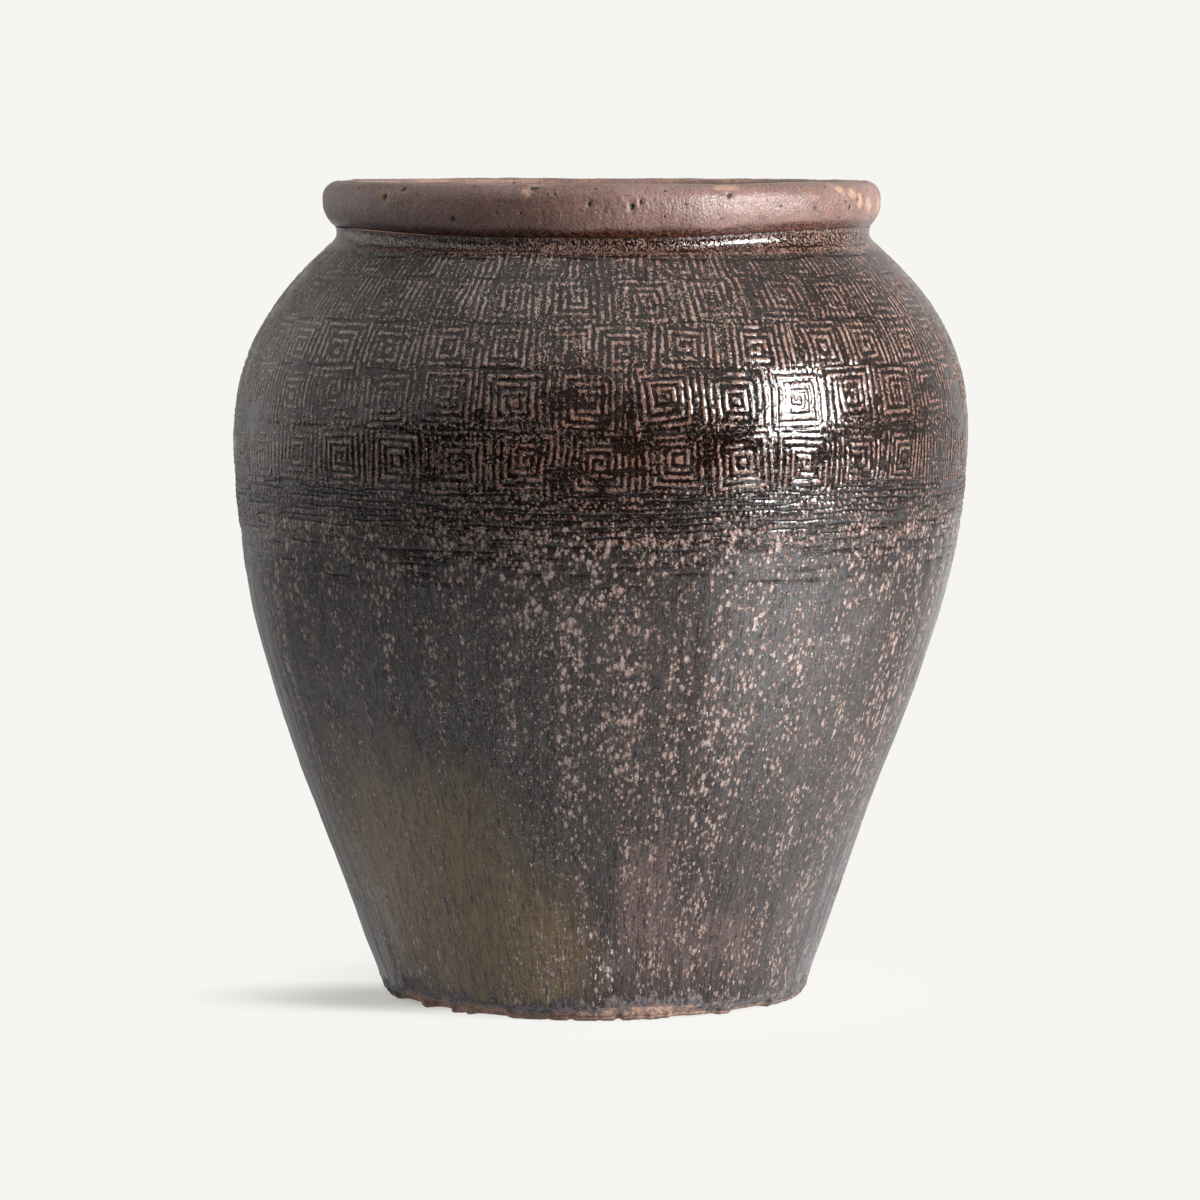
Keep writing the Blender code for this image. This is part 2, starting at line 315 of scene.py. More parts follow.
def skinAt(theta, run):
    level = levelAt(run)
    noise, wave = noiseOver(theta, run)
    dents = wave(0.085, 0.060, 1, 2 * skin["dents"]) + wave(0.030, 0.018, 2, 0.6 * skin["dents"])

    ridge, height, cover, furrow = pressStamps(theta, run)
    beads = ease(0, 0.55, beadField(theta, run, 0.0028, 0.0037, 4, 0.20, 0.50))
    smallBeads = ease(0, 0.6, beadField(theta, run, 0.0017, 0.0017, 5, 0.20, 0.60))
    smear = np.exp(-((level - skin["smearLevel"]) / skin["smearHeight"]) ** 2)
    smear = smear * ease(0.28, 0.58, noise(0.035, 0.02, 6))
    worn = ease(0.42, 0.64, noise(0.016, 0.012, 7)) * ease(0.365, 0.43, level) * 0.28
    broken = ease(0.26, 0.56, noise(0.0017, 0.0022, 8) * 0.65 + noise(0.0060, 0.0075, 9) * 0.35)
    ridge = ridge * (1 - smear * 0.9) * (0.34 + 0.66 * broken) * (1 - worn) * (0.82 + 0.18 * smallBeads)
    ridge = np.maximum(ridge, beads * smear * 0.75)
    pool = ease(0.60, 0.76, noise(0.008, 0.006, 17)) * ease(0.300, 0.315, level)
    ridge = ridge * (1 - 0.7 * pool * (1 - ease(0.368, 0.385, level)))

    bandFade = 1 - ease(skin["stampFoot"] - 0.001, skin["stampFoot"] + 0.002, level)
    bandFade = bandFade * ease(0.258, 0.290, level)
    beadFade = bandFade * ease(0.26, 0.46, noise(0.020, 0.016, 10) + 0.25 * ease(0.285, 0.305, level))
    ridge = np.maximum(ridge, beads * beadFade * (1 - cover) * 0.85)
    neck = ease(jar["neckSeam"] + 0.001, jar["neckSeam"] + 0.004, level)
    neckBeads = smallBeads * neck * (0.78 + 0.22 * ease(0.30, 0.60, noise(0.03, 0.012, 15)))
    ridge = np.maximum(ridge, neckBeads)
    height = np.where(height > 0, height, skin["beadDepth"])
    depth = -(1 - ridge) * height * np.maximum(cover, np.maximum(bandFade, smear)) * (1 - neck)

    below = 1 - ease(0.292, skin["rippleTop"], level)
    fading = 0.22 + 0.78 * ease(0.235, 0.285, level)
    ripple = wave(0.050, 0.0042, 21, 1) + wave(0.022, 0.0021, 22, 0.35)
    runs = wave(0.0042, 0.070, 23, 0.00026) + wave(0.0022, 0.030, 24, 0.00012)
    runs = runs * (1 - 0.6 * ease(0.19, 0.26, level))
    depth = depth + (ripple * skin["rippleDepth"] * fading + runs) * below

    crease = np.zeros_like(theta)
    swing = wave(0.060, 1.0, 39, 0.0040)
    for number, at in enumerate(skin["creases"]):
        wander = swing + wave(0.022, 1.0, 40 + number, 0.0026) + wave(0.005, 1.0, 60 + number, 0.0010)
        shown = ease(0.33 + 0.014 * number, 0.50 + 0.014 * number, noise(0.016, 1.0, 80 + number))
        width = 0.00042 + 0.0005 * noise(0.006, 1.0, 160 + number)
        crease = np.maximum(crease, np.exp(-((level - at - wander) / width) ** 2) * shown)
    crease = np.maximum(crease, furrow * 0.8)
    neckFold = np.exp(-((level - jar["neckSeam"] - 0.0005 - wave(0.03, 1.0, 19, 0.003)) / 0.0006) ** 2)
    crease = np.maximum(crease, neckFold * ease(0.40, 0.60, noise(0.012, 1.0, 20)) * 0.8)
    depth = depth - crease * skin["creaseDepth"]
    facets = wave(0.0090, 0.034, 25, skin["facets"]) + wave(0.0045, 0.016, 26, 0.4 * skin["facets"])
    facets = facets * (1 - ease(0.300, 0.320, level))
    depth = depth + facets * (0.30 + 1.00 * np.abs(np.sin(theta)) ** 3)
    lumps = (noise(0.0032, 0.0027, 27) - 0.35) * 0.0015 * footEdge(theta, level)[1]
    depth = depth + lumps * ease(jar["slabSeam"], jar["slabSeam"] + 0.001, level)
    ridge = ridge * (1 - crease)

    grain = wave(0.0016, 0.0018, 3, skin["grain"]) * np.where(level > 0.25, 0.22 + 0.9 * ridge, 0.45)
    return {"depth": depth + dents + grain, "ridge": ridge, "crease": crease, "level": level,
            "cover": np.maximum(cover, neck)}


foot = {
    "glazeEdge": 0.0066,  # how high the bare clay reaches on average
    "crustHeight": 0.0054,
    "edgeRound": 0.003,
    "chips": [  # angle, half width in degrees, depth
        (-62, 9, 0.0030), (-47, 7, 0.0042), (-30, 6, 0.0016), (24, 5, 0.0018),
        (47, 8, 0.0022), (133, 11, 0.0034), (-118, 8, 0.0026),
    ],
    "around": 720,
    "rings": 60,
    "floorEdge": 0.1130,  # radius where the inside floor meets the wall
    "turningMarks": 0.011,  # from one to the next on the floor
    "liftRadius": 0.1245,  # where chips cut into the underside
}


def footEdge(theta, level):
    # Bare clay at the very foot, then a crust where the glaze was wiped, then the glaze
    _, wave = noiseOver(theta, np.zeros_like(theta))
    degrees = np.degrees(theta)
    closed = ease(20, 34, degrees) * ease(100, 84, degrees)
    closed = closed + ease(-60, -72, degrees) * ease(-104, -88, degrees)
    edge = foot["glazeEdge"] + wave(0.018, 1.0, 105, 0.0078) + wave(0.0045, 1.0, 106, 0.0046)
    edge = edge * (1 - 0.75 * closed)
    crustTop = 1 + wave(0.010, 1.0, 107, 1.6) + wave(0.0032, 1.0, 112, 0.9) + 0.3 * closed
    crustTop = edge + foot["crustHeight"] * crustTop
    return 1 - ease(-0.0008, 0.0006, level - edge), 1 - ease(-0.0006, 0.0005, level - crustTop)


def footBite(theta, level):
    # How far chips and wear cut the lower edge back
    noise, wave = noiseOver(theta, level)
    bite = ease(0.50, 0.75, noise(0.011, 0.02, 401)) * 0.0014
    bite = bite + ease(0.52, 0.8, noise(0.004, 0.01, 402)) * 0.0004
    for angle, wide, depth in foot["chips"]:
        away = np.abs(turnFrom(theta, angle) / wide) + wave(0.006, 0.02, 403, 0.5)
        bite = np.maximum(bite, depth * ease(1.0, 0.45, away))
    return bite


# Where the glaze is spotted, tinted or missing. Angle 0 faces the camera.
patches = {  # angle, level, half width in degrees, half height, strength
    "speck": [(0, 0.210, 14, 0.060, 0.18), (6, 0.11, 9, 0.06, 0.16), (36, 0.20, 20, 0.08, 0.10),
              (-16, 0.14, 9, 0.06, -0.12), (-42, 0.15, 26, 0.07, -0.20), (-30, 0.06, 24, 0.05, -0.30),
              (-34, 0.262, 22, 0.028, -0.06)],
    "olive": [(-40, 0.080, 26, 0.075, 1.3), (-16, 0.035, 15, 0.036, 1.05), (140, 0.10, 34, 0.08, 0.9)],
    "mauve": [(9, 0.075, 9, 0.055, 0.95), (33, 0.045, 20, 0.030, 0.9), (-4, 0.03, 20, 0.02, 0.5),
              (-150, 0.08, 30, 0.06, 0.8), (95, 0.06, 20, 0.05, 0.7)],
    "flecks": [(17, 0.410, 13, 0.020, 1), (-27, 0.389, 9, 0.010, 0.75), (150, 0.40, 30, 0.03, 0.5)],
    "chalk": [(1, 0.034, 9, 0.026, 1.1), (34, 0.030, 14, 0.025, 0.7), (24, 0.17, 16, 0.05, 0.5)],
}


def glazeAt(theta, run, found):
    level = found["level"]
    noise, wave = noiseOver(theta, run)

    def patched(name):
        total = 0
        for angle, height, wide, tall, strength in patches[name]:
            away = turnFrom(theta, angle) / wide
            total = total + strength * np.exp(-(away**2) - ((level - height) / tall) ** 2)
        return total

    columns = ease(0.36, 0.64, noise(0.0085, 0.10, 103))
    clouds = ease(0.25, 0.75, noise(0.040, 0.055, 104))
    speck = 0.545 + 0.16 * clouds + 0.38 * columns + 0.20 * ease(0.225, 0.275, level) + patched("speck")
    speck = speck * (1 - ease(0.282, 0.304, level))
    ragged = wave(0.010, 0.030, 108, 0.9) + wave(0.0035, 0.012, 109, 0.5)
    olive = ease(0.10, 1.0, patched("olive") + ragged * 0.35)
    mauve = ease(0.30, 1.15, patched("mauve") + ragged * 0.9)
    flecks = (patched("flecks") + 0.32) * ease(0.366, 0.378, level)
    flecks = flecks * ease(0.35, 0.65, noise(0.012, 0.008, 110))
    combed = ease(0.215, 0.285, level) * (1 - ease(0.312, 0.330, level))
    thick = 1 - ease(0.358, 0.388, level + wave(0.030, 0.02, 111, 0.022))
    thick = thick * ease(0.270, 0.300, level)
    thick = np.maximum(thick, 0.45 * ease(jar["neckSeam"] - 0.001, jar["neckSeam"] + 0.003, level))
    bare, crust = footEdge(theta, level)
    return {
        "glazeMap": (found["ridge"], found["cover"], np.clip(speck, 0, 1), combed),
        "tintMap": (olive, mauve, np.clip(flecks, 0, 1), thick),
        "edgeMap": (bare, crust, np.clip(patched("chalk") + 0.12, 0, 1), found["crease"]),
    }


# Mesh helpers

def deselectAll():
    if bpy.context.object and bpy.context.object.mode != "OBJECT":
        bpy.ops.object.mode_set(mode="OBJECT")
    bpy.ops.object.select_all(action="DESELECT")


def editEdges(piece, chosen, change, **settings):
    # Edge select comes first, or edit mode would take in every edge between chosen corners
    bpy.context.tool_settings.mesh_select_mode = (False, True, False)
    mesh = piece.data
    mesh.vertices.foreach_set("select", np.zeros(len(mesh.vertices), bool))
    mesh.polygons.foreach_set("select", np.zeros(len(mesh.polygons), bool))
    mesh.edges.foreach_set("select", chosen)
    bpy.ops.object.mode_set(mode="EDIT")
    change(**settings)
    bpy.ops.object.mode_set(mode="OBJECT")


def coordinates(piece):
    spots = np.empty(len(piece.data.vertices) * 3)
    piece.data.vertices.foreach_get("co", spots)
    return spots.reshape(-1, 3)


def angleRound(spots):  # 0 faces the camera, + to the right
    return np.arctan2(spots[:, 0], -spots[:, 1])


def edgeEnds(piece):
    ends = np.empty(len(piece.data.edges) * 2, np.int32)
    piece.data.edges.foreach_get("vertices", ends)
    return ends.reshape(-1, 2)


def addTube(segments, rows, radius):
    # An open tube one metre tall, cut into rows
    deselectAll()
    bpy.ops.mesh.primitive_cylinder_add(
        vertices=segments, radius=radius, depth=1, end_fill_type="NOTHING", location=(0, 0, 0.5))
    tube = bpy.context.object
    bpy.ops.object.transform_apply(location=True)
    heights = coordinates(tube)[edgeEnds(tube)][:, :, 2]
    editEdges(tube, heights[:, 0] != heights[:, 1], bpy.ops.mesh.subdivide, number_cuts=rows - 1)
    return tube


def addWallBlank(name, wall):
    # Two tubes, one in the other, bridged at both ends: a ring one metre tall, outside at radius 1
    inner = addTube(wall["innerAround"], wall["innerRows"], 0.5)
    bpy.ops.object.mode_set(mode="EDIT")
    bpy.ops.mesh.select_all(action="SELECT")
    bpy.ops.mesh.flip_normals()
    bpy.ops.object.mode_set(mode="OBJECT")
    addTube(wall["around"], wall["rows"], 1)
    inner.select_set(True)
    bpy.ops.object.join()
    piece = bpy.context.object
    piece.name = piece.data.name = name
    for height in (0, 1):
        heights = coordinates(piece)[edgeEnds(piece)][:, :, 2]
        atEnd = np.all(np.abs(heights - height) < 1e-5, axis=1)
        editEdges(piece, atEnd, bpy.ops.mesh.bridge_edge_loops)
    return piece


def addRing(name, around, section, cuts=0):
    # A torus, and where each of its points lies: round the jar, and round the section
    deselectAll()
    bpy.ops.mesh.primitive_torus_add(
        major_segments=around, minor_segments=section, major_radius=1, minor_radius=0.3)
    piece = bpy.context.object
    piece.name = piece.data.name = name
    if cuts:
        spots = coordinates(piece)
        place = np.stack([np.hypot(spots[:, 0], spots[:, 1]), spots[:, 2]], axis=1)[edgeEnds(piece)]
        level = np.all(np.abs(place[:, 0] - place[:, 1]) < 1e-5, axis=1)
        editEdges(piece, level, bpy.ops.mesh.subdivide, number_cuts=cuts)
    spots = coordinates(piece)
    climb = np.arctan2(spots[:, 2], np.hypot(spots[:, 0], spots[:, 1]) - 1) / (2 * pi)
    return piece, angleRound(spots), climb


def storeMaps(piece, maps):
    for name, parts in maps.items():
        layer = piece.data.attributes.new(name, "FLOAT_COLOR", "POINT")
        colours = np.ones((len(piece.data.vertices), 4), np.float32)
        for channel, values in enumerate(parts):
            colours[:, channel] = values
        layer.data.foreach_set("color", colours.ravel())


def storeWheel(piece, theta, run):
    # Place on the skin, as a vector: round the jar at one gauge radius, and up the wall
    layer = piece.data.attributes.new("wheel", "FLOAT_VECTOR", "POINT")
    spots = np.stack([gauge * np.sin(theta), -gauge * np.cos(theta), run], axis=1)
    layer.data.foreach_set("vector", spots.astype(np.float32).ravel())


def finishPiece(piece, placed, materials, node):
    piece.data.vertices.foreach_set("co", placed.ravel())
    for material in materials:
        piece.data.materials.append(material)
    piece.data.update()
    piece.data.shade_smooth()
    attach(piece, "root")
    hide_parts(node)
    print("made", piece.name, len(piece.data.polygons), "faces")


def skinPoint(theta, run):
    found = skinAt(theta, run)
    level = found["level"]
    across, up = outerSlope(level)
    radius = outerRadius(level) + found["depth"] * across
    return placeAt(theta, radius, level, level + found["depth"] * up), found


def innerSkin(theta, level):
    radius, height = innerPoint(level)
    _, wave = noiseOver(theta, height)
    radius = radius + wave(0.20, 0.0085, 201, 0.0012) + wave(0.035, 0.030, 202, 0.0018)
    return placeAt(theta, radius, height, height)


def normalOf(surface, theta, along, step=0.0004):
    turn = step / gauge
    east = surface(theta + turn, along) - surface(theta - turn, along)
    north = surface(theta, along + step) - surface(theta, along - step)
    out = np.cross(east, north)
    return out / np.linalg.norm(out, axis=1)[:, None]


def throwWall(name, wall):
    piece = addWallBlank(name, wall)
    spots = coordinates(piece)
    theta = angleRound(spots)
    share = np.clip(spots[:, 2], 0, 1)
    outside = np.hypot(spots[:, 0], spots[:, 1]) > 0.75
    low, high = (runAt(level) for level in wall["levels"])
    run = low + (high - low) * share
    placed = np.empty_like(spots)
    placed[outside], found = skinPoint(theta[outside], run[outside])
    innerLow, innerHigh = wall["innerLevels"]
    innerLevel = innerLow + (innerHigh - innerLow) * share
    placed[~outside] = innerSkin(theta[~outside], innerLevel[~outside])
    placed[:, 2] += rimSag(theta, placed[:, 2])

    maps = {}
    for key, parts in glazeAt(theta[outside], run[outside], found).items():
        maps[key] = np.zeros((len(parts), len(spots)))
        maps[key][:, outside] = parts
    storeMaps(piece, maps)
    storeWheel(piece, theta, np.where(outside, run, placed[:, 2]))
    finishPiece(piece, placed, [jarGlaze, insideGlaze], wall["node"])

    # Faces with an inside corner take the second material
    mesh = piece.data
    corners = np.empty(len(mesh.loops), np.int32)
    mesh.loops.foreach_get("vertex_index", corners)
    starts = np.empty(len(mesh.polygons), np.int32)
    mesh.polygons.foreach_get("loop_start", starts)
    counts = np.add.reduceat((~outside[corners]).astype(int), starts)
    mesh.polygons.foreach_set("material_index", (counts > 0).astype(np.int32))
    mesh.update()

    # Pieces that meet on the skin share its normals there, so that no seam shows
    normals = np.empty(len(mesh.vertices) * 3, np.float32)
    mesh.vertices.foreach_get("normal", normals)
    normals = normals.reshape(-1, 3)
    ends = (share < 1e-6) | (share > 1 - 1e-6)
    outerEnds, innerEnds = outside & ends, ~outside & ends
    normals[outerEnds] = normalOf(lambda *at: skinPoint(*at)[0], theta[outerEnds], run[outerEnds])
    normals[innerEnds] = -normalOf(innerSkin, theta[innerEnds], innerLevel[innerEnds])
    mesh.normals_split_custom_set_from_vertices(normals)


# Materials: small helpers, then one function for each finish

class NodeValue:
    # A value or colour in a material, so that values can be added and multiplied as plain sums
    def __init__(self, socket):
        self.socket = socket

    __add__ = __radd__ = lambda self, other: mathNode("ADD", self, other)
    __sub__ = lambda self, other: mathNode("SUBTRACT", self, other)
    __rsub__ = lambda self, other: mathNode("SUBTRACT", other, self)
    __mul__ = __rmul__ = lambda self, other: mathNode("MULTIPLY", self, other)
    __abs__ = lambda self: mathNode("ABSOLUTE", self)


def treeOf(*values):
    return next(value.socket.id_data for value in values if isinstance(value, NodeValue))


def plug(value, socket):
    if isinstance(value, NodeValue):
        socket.id_data.links.new(value.socket, socket)
    else:
        socket.default_value = value


def addNode(tree, kind, settings=None, **inputs):
    node = tree.nodes.new("ShaderNode" + kind)
    for key, value in (settings or {}).items():
        setattr(node, key, value)
    for key, value in inputs.items():
        numbered = key[0] == "i" and key[1:].isdigit()
        plug(value, node.inputs[int(key[1:]) if numbered else key.replace("_", " ")])
    return node


def out(node, key=0):
    return NodeValue(node.outputs[key])


def mathNode(operation, *values):
    inputs = {"i" + str(number): value for number, value in enumerate(values)}
    return out(addNode(treeOf(*values), "Math", {"operation": operation}, **inputs))


def larger(first, second):
    return mathNode("MAXIMUM", first, second)


def clamped(value):
    value.socket.node.use_clamp = True
    return value


def step(value, low, high, start=0.0, end=1.0):
    return out(addNode(treeOf(value), "MapRange", {"interpolation_type": "SMOOTHSTEP"},
                       Value=value, From_Min=low, From_Max=high, To_Min=start, To_Max=end))


def mix(factor, first, second):
    return out(addNode(treeOf(factor, first, second), "Mix", {"data_type": "RGBA"},
                       i0=factor, i6=first, i7=second), 2)


def stretched(place, scale):
    return out(addNode(treeOf(place), "Mapping", Vector=place, Scale=scale))


def noiseNode(place, scale, detail=2.0, roughness=0.5, stretch=None):
    if stretch:
        place = stretched(place, stretch)
    return out(addNode(treeOf(place), "TexNoise",
                       Vector=place, Scale=scale, Detail=detail, Roughness=roughness))


def mapChannels(tree, name):
    layer = addNode(tree, "Attribute", {"attribute_name": name})
    parts = addNode(tree, "SeparateColor", Color=out(layer, "Color"))
    return [out(parts, number) for number in range(3)] + [out(layer, "Alpha")]


def cellsOf(place):  # distance from the middle of each cell, and a chance from 0 to 1 for the cell
    found = addNode(treeOf(place), "TexVoronoi", {"feature": "F1"}, Vector=place, Scale=1.0)
    return out(found, "Distance"), out(addNode(treeOf(place), "SeparateColor", Color=out(found, "Color")))


def spotDepth(place, stretch, density, ragged, least, most, tear=1.1):
    # Ragged spots, one in each cell, that grow with the density: above 0 inside a spot
    cells = stretched(place, stretch)
    warp = out(addNode(treeOf(place), "TexNoise", Vector=cells, Scale=2.6, Detail=1.0), "Color")
    cells = addNode(treeOf(place), "VectorMath", {"operation": "MULTIPLY_ADD"},
                    i0=warp, i1=(0.75, 0.75, 0.75), i2=cells)
    distance, chance = cellsOf(out(cells))
    reach = (chance * (most - least) + least) * density
    return reach - ((ragged - 0.5) * tear + distance)


def sparseDots(place, scale, radius, share):
    # A dot in only some of the cells
    distance, chance = cellsOf(stretched(place, (scale, scale, scale)))
    return step(distance, radius * 0.6, radius, 1.0, 0.0) * mathNode("LESS_THAN", chance, share)


def newMaterial(name):
    material = bpy.data.materials.new(name)
    material.use_nodes = True
    return material, material.node_tree, material.node_tree.nodes["Principled BSDF"]


def objectPlace(tree):
    return out(addNode(tree, "TexCoord"), "Object")


def dress(shader, colour, shine, lift, strength=1.0, distance=1.0):
    bump = addNode(shader.id_data, "Bump", Strength=strength, Distance=distance, Height=lift)
    for key, value in (("Base Color", colour), ("Roughness", shine), ("Normal", out(bump))):
        plug(value, shader.inputs[key])


bodyGlaze = {
    "deep": (0.0048, 0.0018, 0.0010, 1),
    "brown": (0.0260, 0.0185, 0.0160, 1),
    "rustEdge": (0.112, 0.044, 0.024, 1),
    "rust": (0.205, 0.098, 0.066, 1),
    "pink": (0.262, 0.178, 0.150, 1),
    "spotDark": (0.120, 0.062, 0.040, 1),
    "olive": (0.154, 0.102, 0.042, 1),
    "dash": (0.011, 0.012, 0.015, 1),
    "mauve": (0.110, 0.068, 0.060, 1),
    "fibre": (0.066, 0.050, 0.045, 1),
    "spot": (0.222, 0.140, 0.114, 1),
    "paleSpot": (0.375, 0.284, 0.254, 1),
    "fleck": (0.240, 0.190, 0.120, 1),
    "pinhole": (0.004, 0.003, 0.002, 1),
    "line": (0.006, 0.003, 0.002, 1),
    "chalk": (0.620, 0.600, 0.560, 1),
    "crust": (0.130, 0.100, 0.100, 1),
    "crustDark": (0.026, 0.020, 0.020, 1),
    "crustPale": (0.300, 0.240, 0.225, 1),
    "clay": (0.375, 0.232, 0.178, 1),
    "clayDark": (0.160, 0.092, 0.070, 1),
    "clayPale": (0.520, 0.370, 0.300, 1),
    "clayGrit": (0.035, 0.020, 0.015, 1),
    "inside": (0.060, 0.029, 0.019, 1),
    "insidePale": (0.150, 0.080, 0.052, 1),
    "insideRing": (0.200, 0.115, 0.078, 1),
}
rimSlip = {
    "dark": (0.134, 0.074, 0.062, 1),
    "pale": (0.206, 0.121, 0.103, 1),
    "rust": (0.195, 0.098, 0.070, 1),
    "worn": (0.255, 0.170, 0.145, 1),
    "grit": (0.040, 0.018, 0.013, 1),
    "tan": (0.385, 0.240, 0.165, 1),
    "under": (0.016, 0.006, 0.004, 1),
    "underGrain": (0.155, 0.052, 0.028, 1),
    "hole": (0.012, 0.007, 0.005, 1),
}


def clayColour(place, look):
    # Fired clay: orange brown, mottled, with dark grit and pale grains
    medium = noiseNode(place, 150, 4.0, 0.6)
    grit = noiseNode(place, 640, 3.0, 0.65)
    fine = noiseNode(place, 1500, 2.0, 0.6)
    colour = mix(step(medium, 0.36, 0.62), look["clayDark"], look["clay"])
    colour = mix(step(grit, 0.54, 0.68, 0.0, 0.85), colour, look["clayGrit"])
    return mix(step(fine, 0.54, 0.70, 0.0, 0.7), colour, look["clayPale"]), grit, fine


def crustColour(place, around, look):
    # Wiped glaze over the clay: grey purple, rough and pitted, and darker on the left as painted shade, on
    # the side away from the key light
    medium = noiseNode(place, 320, 3.0, 0.65)
    fine = noiseNode(place, 1100, 2.0, 0.6)
    colour = mix(step(medium, 0.42, 0.58), look["crustDark"], look["crust"])
    colour = mix(step(fine, 0.56, 0.68, 0.0, 0.7), colour, look["crustPale"])
    across = out(addNode(treeOf(place), "SeparateXYZ", Vector=place))
    # Painted shade: toward the left the crust turns to its dark colour
    return mix(step(across, -around * 0.92, -around * 0.72, 0.6, 0.0), colour, look["crustDark"])


def makeBodyGlaze(look):
    material, tree, shader = newMaterial("jarGlaze")
    place = out(addNode(tree, "Attribute", {"attribute_name": "wheel"}), "Vector")
    ridge, cover, speck, combed = mapChannels(tree, "glazeMap")
    olive, mauve, flecks, thick = mapChannels(tree, "tintMap")
    bare, crust, chalk, crease = mapChannels(tree, "edgeMap")
    fine = noiseNode(place, 1350, 2.0, 0.6)
    grit = noiseNode(place, 640, 3.0, 0.65)
    medium = noiseNode(place, 170, 3.0, 0.55)
    cloud = noiseNode(place, 28, 3.0, 0.5)
    streak = noiseNode(place, 1.0, 3.0, 0.6, (820, 820, 85))
    fibre = noiseNode(place, 1.0, 2.0, 0.6, (1100, 1100, 230))
    wideStreak = noiseNode(place, 1.0, 3.0, 0.55, (190, 190, 16))
    ripple = noiseNode(place, 1.0, 3.0, 0.6, (70, 70, 620))
    openWall = 1.0 - cover

    # One deep brown glaze, a little thinner where it ran
    thinning = step(streak * 0.55 + wideStreak * 0.6 + cloud * 0.35, 0.55, 0.95)
    thinning = clamped(thinning * (openWall * 0.94 + 0.06 - combed * 0.7)) * (1.0 - thick * 0.75)
    colour = mix(thinning, look["deep"], look["brown"])
    lowWall = openWall * (1.0 - combed * 0.8)
    colour = mix(step(fibre, 0.52, 0.70) * (lowWall * 0.40), colour, look["fibre"])
    oliveMask = olive * step(streak * 0.55 + medium * 0.45, 0.36, 0.62, 0.55, 1.0)
    colour = mix(oliveMask, colour, look["olive"])
    dashes = noiseNode(place, 1.0, 1.0, 0.5, (380, 380, 75))
    colour = mix(step(dashes, 0.62, 0.67, 0.0, 0.85) * olive, colour, look["dash"])
    mauveMask = mauve * step(grit * 0.5 + streak * 0.5, 0.38, 0.60)
    colour = mix(mauveMask, colour, look["mauve"])

    # Ridges and beads, where the glaze is thin: orange at their edges, pinkish on top
    rough = ridge + (grit - 0.5) * 1.7 + (fine - 0.5) * 2.5
    thin = step(rough + thick * 0.02, 0.41, 0.58)
    top = step(rough - thick * 0.11, 0.50, 0.87)

    # Broken spots on the open wall, in three sizes
    ragged = fine * 0.5 + grit * 0.5
    big = spotDepth(place, (305, 305, 185), speck, ragged, -0.08, 0.60, 1.7)
    small = spotDepth(place, (500, 500, 320), speck, ragged, -0.15, 0.60, 1.6)
    tiny = spotDepth(place, (900, 900, 600), speck, ragged, -0.30, 0.50, 1.2)
    inside = larger(big, small)
    keep = clamped(1.0 - larger(bare, crust))
    faint = step(tiny, 0.0, 0.12, 0.0, 0.45) * lowWall
    spots = larger(step(inside, -0.02, 0.06), faint) * keep
    spotTop = step(inside + (fine - 0.5) * 1.8 + (grit - 0.5) * 1.3, 0.0, 0.28)

    mask = larger(thin, spots)
    ridgeTop = mix(step(medium, 0.36, 0.60), look["rust"], look["pink"])
    ridgeTop = mix(thick * 0.60, ridgeTop, look["rust"])
    ridgeColour = mix(thick * 0.10, mix(top, look["rustEdge"], ridgeTop), look["deep"])
    spotPale = mix(step(fine, 0.42, 0.58), look["spot"], look["paleSpot"])
    spotColour = mix(spotTop, look["spotDark"], spotPale)
    colour = mix(mask * 0.94, colour, mix(spots * openWall, ridgeColour, spotColour))

    # Tan flecks on the shoulder, pinholes all over, chalky marks near the foot
    fleckDepth = spotDepth(place, (1050, 1050, 1050), flecks, ragged, -0.22, 0.60)
    colour = mix(step(fleckDepth, -0.02, 0.12, 0.0, 0.75), colour, look["fleck"])
    pinholes = sparseDots(place, 95, 0.065, 0.30) * keep
    colour = mix(pinholes, colour, look["pinhole"])
    chalkDepth = spotDepth(place, (290, 290, 150), chalk, ragged, -0.42, 0.36)
    colour = mix(step(chalkDepth, 0.0, 0.05) * (openWall * keep) * 0.8, colour, look["chalk"])

    # Fine level lines combed into the wall under the stamps, and the folds of the creases
    lines = step(ripple, 0.56, 0.66) * combed
    colour = mix(lines * 0.75, colour, look["line"])
    folds = step((grit - 0.5) * 0.8 + crease, 0.25, 0.75) * 0.85
    colour = mix(folds, colour, look["deep"])

    # The bare foot and the crust over it, with a dark lip where the glaze ends
    colour = mix(crust * (1.0 - crust) * 3.2, colour, look["crustDark"])
    colour = mix(step(crust, 0.35, 0.75), colour, crustColour(place, gauge, look))
    colour = mix(bare, colour, clayColour(place, look)[0])

    shine = openWall * 0.10 + 0.10 + (medium - 0.5) * 0.14 + mask * 0.10
    shine = shine + larger(oliveMask, mauveMask) * 0.12 + crust * 0.32
    shine = clamped(shine + bare * 0.30)

    # Height of the fine relief, in metres
    raised = cover * 0.000022 + mask * 0.00011 + 0.000012
    lift = mask * (openWall * 0.00009 + 0.00002) + grit * raised + fine * (raised * 0.7)
    lift = lift + fibre * (openWall * 0.00003 + 0.00001) + streak * (openWall * 0.00009 + 0.00001)
    lift = lift + ripple * (combed * 0.00014 + 0.00002) - lines * 0.00018
    lift = lift + larger(crust, bare) * (grit * 0.0007) - pinholes * 0.0003
    dress(shader, colour, shine, lift)

    # Painted shade on the reflection: tiny hollows between the ridges and the folds of the creases shine less
    # than the skin round them
    gloss = step(fine * 0.5 + (fibre + streak) * 0.25, 0.36, 0.64, 0.12, 0.84)
    hollow = larger(cover * 0.22 * clamped(1.0 - mask), folds * 0.8)
    gloss = gloss * (1.0 - hollow) + mask * step(fine, 0.46, 0.59, 0.0, 0.95)
    plug(gloss, shader.inputs["Specular IOR Level"])
    return material


